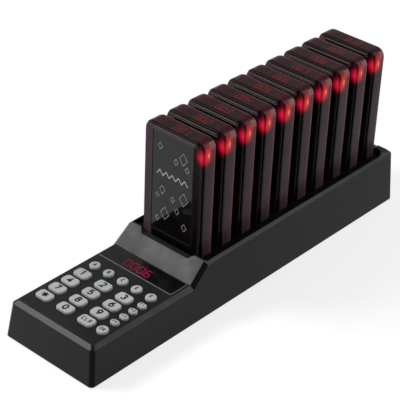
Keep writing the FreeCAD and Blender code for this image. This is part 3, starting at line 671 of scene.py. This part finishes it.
# Nearly black, darker than the housing: painted shade for the deep tray. Its edges are lighter by wear and
# a painted highlight.
insert = moulded("insert_black", rgb(0.002, 0.002, 0.0025), rgb(0.004, 0.004, 0.0045),
                 0.45, 0.6, 0.00003, 0.10, rgb(0.012, 0.012, 0.013))
key_rubber = moulded("key_grey", rgb(0.425, 0.434, 0.44), rgb(0.49, 0.50, 0.505),
                     0.55, 0.7, 0.00002, 0.22)
dark_rubber = moulded("dark_rubber", rgb(0.02, 0.02, 0.02), rgb(0.035, 0.035, 0.035),
                      0.6, 0.8, 0.00004, 0.3)
contact_sheet = moulded("contact_sheet", rgb(0.22, 0.22, 0.23), rgb(0.28, 0.28, 0.29),
                        0.6, 0.75, 0.00002, 0.3)
window_filter = display_filter("display_filter")
shell_plastic = pager_shell("pager_shell")
face_plastic = pager_front("pager_face")
card = label_card("label_card")
green_board = board("circuit_board")
brass = metal("contact_brass", rgb(0.78, 0.58, 0.26), 0.2, 0.4)
steel = metal("screw_steel", rgb(0.55, 0.55, 0.56), 0.25, 0.45)
wrap = moulded("battery_wrap", rgb(0.08, 0.10, 0.16), rgb(0.12, 0.14, 0.20),
               0.3, 0.5, 0.00001, 0.4)
display_red = lit("display_red", rgb(0.42, 0.008, 0.055), rgb(0.30, 0.005, 0.040), 0.55)
number_red = lit("number_red", rgb(0.24, 0.006, 0.020), rgb(0.15, 0.004, 0.013), 0.9)
legend_ink = print_ink("legend_ink", rgb(0.012, 0.012, 0.014), 0.6)
motif_ink = print_ink("motif_ink", rgb(0.62, 0.63, 0.64), 0.5)

NODE_MATERIALS = {
    "top_housing": console,
    "bottom_cover": console,
    "charging_bay": insert,
    "display_window": window_filter,
    "display_module": dark_rubber,
    "key_mat": contact_sheet,
    "control_board": green_board,
    "charging_board": green_board,
    "charging_pins": brass,
    "dc_socket": insert,
    "rubber_feet": dark_rubber,
    "housing_screws": steel,
}
PAGER_MATERIALS = {
    "front_case": face_plastic,
    "back_case": shell_plastic,
    "label_panel": card,
    "circuit_board": green_board,
    "number_display": dark_rubber,
    "battery": wrap,
    "vibration_motor": steel,
    "contacts": brass,
}


def node_material(name):
    """A node's material: keys and pagers by their kind, the rest by name."""
    if name.startswith("key_") and name != "key_mat":
        return key_rubber
    if name.startswith("pager_"):
        return PAGER_MATERIALS[name.split("_", 2)[2]]
    return NODE_MATERIALS[name]


def dress_nodes():
    """Gives every solid its material."""
    for name, node in nodes.items():
        for slot in node.material_slots:
            slot.material = node_material(name)


def finished(piece, material, body):
    """Gives a new piece its material and its body."""
    piece.data.materials.clear()
    piece.data.materials.append(material)
    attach(piece, body)
    return piece


# --- legends and digits, with their sizes in millimetres ----------------------------------------
RIGHT = Vector((1, 0, 0))
REAR = Vector((0, 1, 0))
UP = Vector((0, 0, 1))

LEGENDS = {"star": "*", "clear": "CLR", "enter": "OK"}
DIGIT_PRINT = (6.0, 1.6)    # height and stroke of the sign on an oblong key
LETTER_PRINT = (3.5, 0.9)   # of the letter on a round key
SMALL_PRINT = (2.5, 0.62)   # of the two signs on a small oval key
WORD_PRINTS = {"clear": (3.9, 0.85), "enter": (3.2, 0.75)}


def legend_print(word):
    """Height and stroke of the legend on a key of this name."""
    if word.isdigit() or word == "star":
        return DIGIT_PRINT
    if word in WORD_PRINTS:
        return WORD_PRINTS[word]
    return SMALL_PRINT if len(word) == 2 else LETTER_PRINT


def add_key_legends():
    """Each key's printed legend, on its cap."""
    for name in nodes:
        if not name.startswith("key_") or name == "key_mat":
            continue
        low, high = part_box(name)
        word = name[4:]
        text = LEGENDS.get(word, word.upper())
        place = plane_at(Vector(((low.x + high.x) / 2, (low.y + high.y) / 2, high.z)), RIGHT, REAR)
        height, stroke = legend_print(word)
        piece = words_piece("legend_" + word, text, height, stroke, place)
        finished(piece, legend_ink, name)


# Pitch, width, height and stroke of a row of digits, and its slant as a share of the height.
DISPLAY_BARS = (7.8, 5.2, 8.8, 1.0, -0.10)
NUMBER_BARS = (5.6, 3.7, 7.4, 0.85, 0.1)
DISPLAY_AHEAD = 1.1 * MM    # the display's digits before the middle of their module
NUMBER_X = 3.4 * MM
NUMBER_BEHIND = 7.3 * MM    # a pager's number behind its front


def add_display_digits():
    """The four lit digits, on the display window."""
    middle = (module_low + module_high) / 2
    origin = Vector((middle.x, middle.y - DISPLAY_AHEAD, WINDOW_TOP))
    bars = lit_bars("0006", *DISPLAY_BARS)
    piece = prisms("display_digits", bars, plane_at(origin, RIGHT, REAR), PRINT)
    finished(piece, display_red, "console")


def add_pager_numbers():
    """The lit number on each pager's top."""
    for index in range(PAGERS):
        middle = Vector((NUMBER_X, FACE_Y + index * PITCH + NUMBER_BEHIND, shell_high.z))
        bars = lit_bars("%03d" % (index + 1), *NUMBER_BARS)
        piece = prisms("pager_number_%02d" % (index + 1), bars, plane_at(middle, RIGHT, REAR), PRINT)
        finished(piece, number_red, "pager_%02d" % (index + 1))


# Each diamond's place across and up the label, as shares of its size, and its half width.
DIAMONDS = (
    (0.26, 0.83, 4.4), (0.36, 0.74, 2.2), (0.08, 0.77, 2.4), (-0.32, 0.86, 2.4),
    (-0.24, 0.43, 3.2), (-0.36, 0.36, 1.9), (0.03, 0.38, 2.2), (0.30, 0.43, 4.8),
    (0.14, 0.28, 2.4), (-0.16, 0.20, 4.8), (-0.35, 0.12, 2.2), (0.33, 0.15, 2.8),
)
DIAMOND_STRETCH = 1.3       # height over width
DIAMOND_STROKE = 0.32
ZIGZAG_STROKE = 0.85
ZIGZAG_STEPS = 10
ZIGZAG_LIFT = 2.3           # of each point above or below the middle line
ZIGZAG_SPAN = 0.78          # share of the label's width
ZIGZAG_UP = 0.60            # share of the label's height below the zigzag


def label_motifs():
    """The label's white line drawing: scattered diamonds above and below one zigzag line."""
    width = (label_high.x - label_low.x) / MM
    height = (label_high.z - label_low.z) / MM
    lines = []
    for across, up, reach in DIAMONDS:
        u, v = across * width, (up - 0.5) * height
        tall = DIAMOND_STRETCH * reach
        corners = [(u + reach, v), (u, v + tall), (u - reach, v), (u, v - tall)]
        lines.append((ring(corners), DIAMOND_STROKE))
    zigzag = []
    for step in range(ZIGZAG_STEPS + 1):
        lift = ZIGZAG_LIFT if step % 2 else -ZIGZAG_LIFT
        across = (step / ZIGZAG_STEPS - 0.5) * ZIGZAG_SPAN
        zigzag.append((across * width, (ZIGZAG_UP - 0.5) * height + lift))
    return lines + [(zigzag, ZIGZAG_STROKE)]


def add_label_motifs():
    """The same line drawing on every pager's label."""
    lines = label_motifs()
    middle_z = (label_low.z + label_high.z) / 2
    for index in range(PAGERS):
        origin = Vector((0, label_low.y + index * PITCH, middle_z))
        piece = ribbons("label_motif_%02d" % (index + 1), lines, plane_at(origin, RIGHT, UP), PRINT)
        finished(piece, motif_ink, "pager_%02d" % (index + 1))


# --- studio ------------------------------------------------------------------------------------
FLOOR_HALF = 6.0            # half the floor's side
FLOOR_FADE = (0.9, 2.6)     # distances between which it runs into the surroundings
FLOOR_GLOW = 0.72           # its own light near the object, low enough to leave the shadow on it


def add_floor():
    """A pale floor that keeps the object's shadow and runs into the white surroundings far out."""
    made = Material("floor_pale")
    x, y = made.split()[:2]
    radius = made.math("SQRT", made.math("ADD", made.both(x, x), made.both(y, y)))
    far = made.rise(radius, *FLOOR_FADE)
    path = made.add("ShaderNodeLightPath")
    seen = made.math("MAXIMUM", path.outputs["Is Camera Ray"], path.outputs["Is Glossy Ray"])
    seen = made.math("MAXIMUM", seen, path.outputs["Is Transmission Ray"])
    pale = made.mix(made.noise(3.0), rgb(0.35, 0.35, 0.35), rgb(0.39, 0.39, 0.39))
    made.set(
        Base_Color=made.mix(far, pale, BLACK),
        Roughness=0.95,
        Specular_IOR_Level=0.0,
        Emission_Color=made.mix(seen, BLACK, WHITE),
        Emission_Strength=made.spread(far, FLOOR_GLOW, 1.0, 0.0, 1.0),
    )
    low, high = -FLOOR_HALF, FLOOR_HALF
    corners = [(low, low, 0), (high, low, 0), (high, high, 0), (low, high, 0)]
    floor = mesh_object("floor", corners, [[0, 1, 2, 3]])
    floor.data.materials.append(made.material)


# Reflections go from pale walls to a dim ceiling between two heights: both heights, both levels.
REFLECTED_WALLS = (0.22, 0.46, 1.0, 0.24)
MATT_FILL = 0.34            # even light on matt surfaces


def add_world():
    """A white studio: pale walls near the horizon and a dim ceiling for reflections, soft even fill."""
    world = bpy.data.worlds.new("studio")
    bpy.context.scene.world = world
    world.use_nodes = True
    tree = world.node_tree
    background = tree.nodes["Background"]
    background.inputs["Color"].default_value = WHITE
    path = tree.nodes.new("ShaderNodeLightPath")
    direction = tree.nodes.new("ShaderNodeTexCoord").outputs["Generated"]
    height = tree.nodes.new("ShaderNodeSeparateXYZ")
    tree.links.new(direction, height.inputs[0])

    def ranged(value, settings):
        node = tree.nodes.new("ShaderNodeMapRange")
        for key, number in zip(("From Min", "From Max", "To Min", "To Max"), settings):
            node.inputs[key].default_value = number
        tree.links.new(value, node.inputs["Value"])
        return node

    def maximum(first, second):
        node = tree.nodes.new("ShaderNodeMath")
        node.operation = "MAXIMUM"
        tree.links.new(first, node.inputs[0])
        tree.links.new(second, node.inputs[1])
        return node.outputs[0]

    walls = ranged(height.outputs["Z"], REFLECTED_WALLS)
    fill = ranged(path.outputs["Is Glossy Ray"], (0.0, 1.0, MATT_FILL, 1.0))
    tree.links.new(walls.outputs[0], fill.inputs["To Max"])
    direct = maximum(path.outputs["Is Camera Ray"], path.outputs["Is Transmission Ray"])
    tree.links.new(maximum(direct, fill.outputs[0]), background.inputs["Strength"])


def add_softbox(name, towards, distance, width, height, power, aim):
    """A soft rectangular light, this far from the aim in a direction, and turned to it."""
    light = bpy.data.lights.new(name, "AREA")
    light.shape = "RECTANGLE"
    light.size = width
    light.size_y = height
    light.energy = power
    lamp = bpy.data.objects.new(name, light)
    bpy.context.scene.collection.objects.link(lamp)
    lamp.location = aim + Vector(towards).normalized() * distance
    lamp.rotation_euler = (aim - lamp.location).to_track_quat("-Z", "Y").to_euler()


def add_lights():
    """A key light from the front left and a longer, weaker one from the rear right."""
    aim = Vector((0.0, -0.02, 0.05))
    add_softbox("softbox_front_left", (-0.55, -0.42, 0.72), 1.5, 0.50, 0.42, 14.5, aim)
    add_softbox("softbox_rear_right", (0.48, 0.64, 0.60), 1.8, 1.0, 0.35, 7.0, aim)


CAMERA_PLACE = (0.74302, -0.88806, 0.80367)
CAMERA_AZIMUTH = math.radians(40.602)
CAMERA_ELEVATION = math.radians(32.523)
CAMERA_ROLL = math.radians(2.587)
CAMERA_LENS = 140.76
CAMERA_SENSOR = 36.0


def add_camera():
    """The photograph's viewpoint: azimuth from the front, height above the horizon and a slight roll."""
    sa, ca = math.sin(CAMERA_AZIMUTH), math.cos(CAMERA_AZIMUTH)
    se, ce = math.sin(CAMERA_ELEVATION), math.cos(CAMERA_ELEVATION)
    sr, cr = math.sin(CAMERA_ROLL), math.cos(CAMERA_ROLL)
    back = Vector((sa * ce, -ca * ce, se))
    level_right = Vector((ca, sa, 0))
    level_up = back.cross(level_right)
    right = level_right * cr + level_up * sr
    up = level_up * cr - level_right * sr
    data = bpy.data.cameras.new("camera")
    data.lens = CAMERA_LENS
    data.sensor_width = CAMERA_SENSOR
    camera = bpy.data.objects.new("camera", data)
    bpy.context.scene.collection.objects.link(camera)
    turn = Matrix((right, up, back)).transposed().to_4x4()
    camera.matrix_world = Matrix.Translation(CAMERA_PLACE) @ turn
    bpy.context.scene.camera = camera


dress_nodes()
add_key_legends()
add_display_digits()
add_pager_numbers()
add_label_motifs()
add_floor()
add_world()
add_lights()
add_camera()
bpy.context.scene.view_settings.view_transform = "Standard"
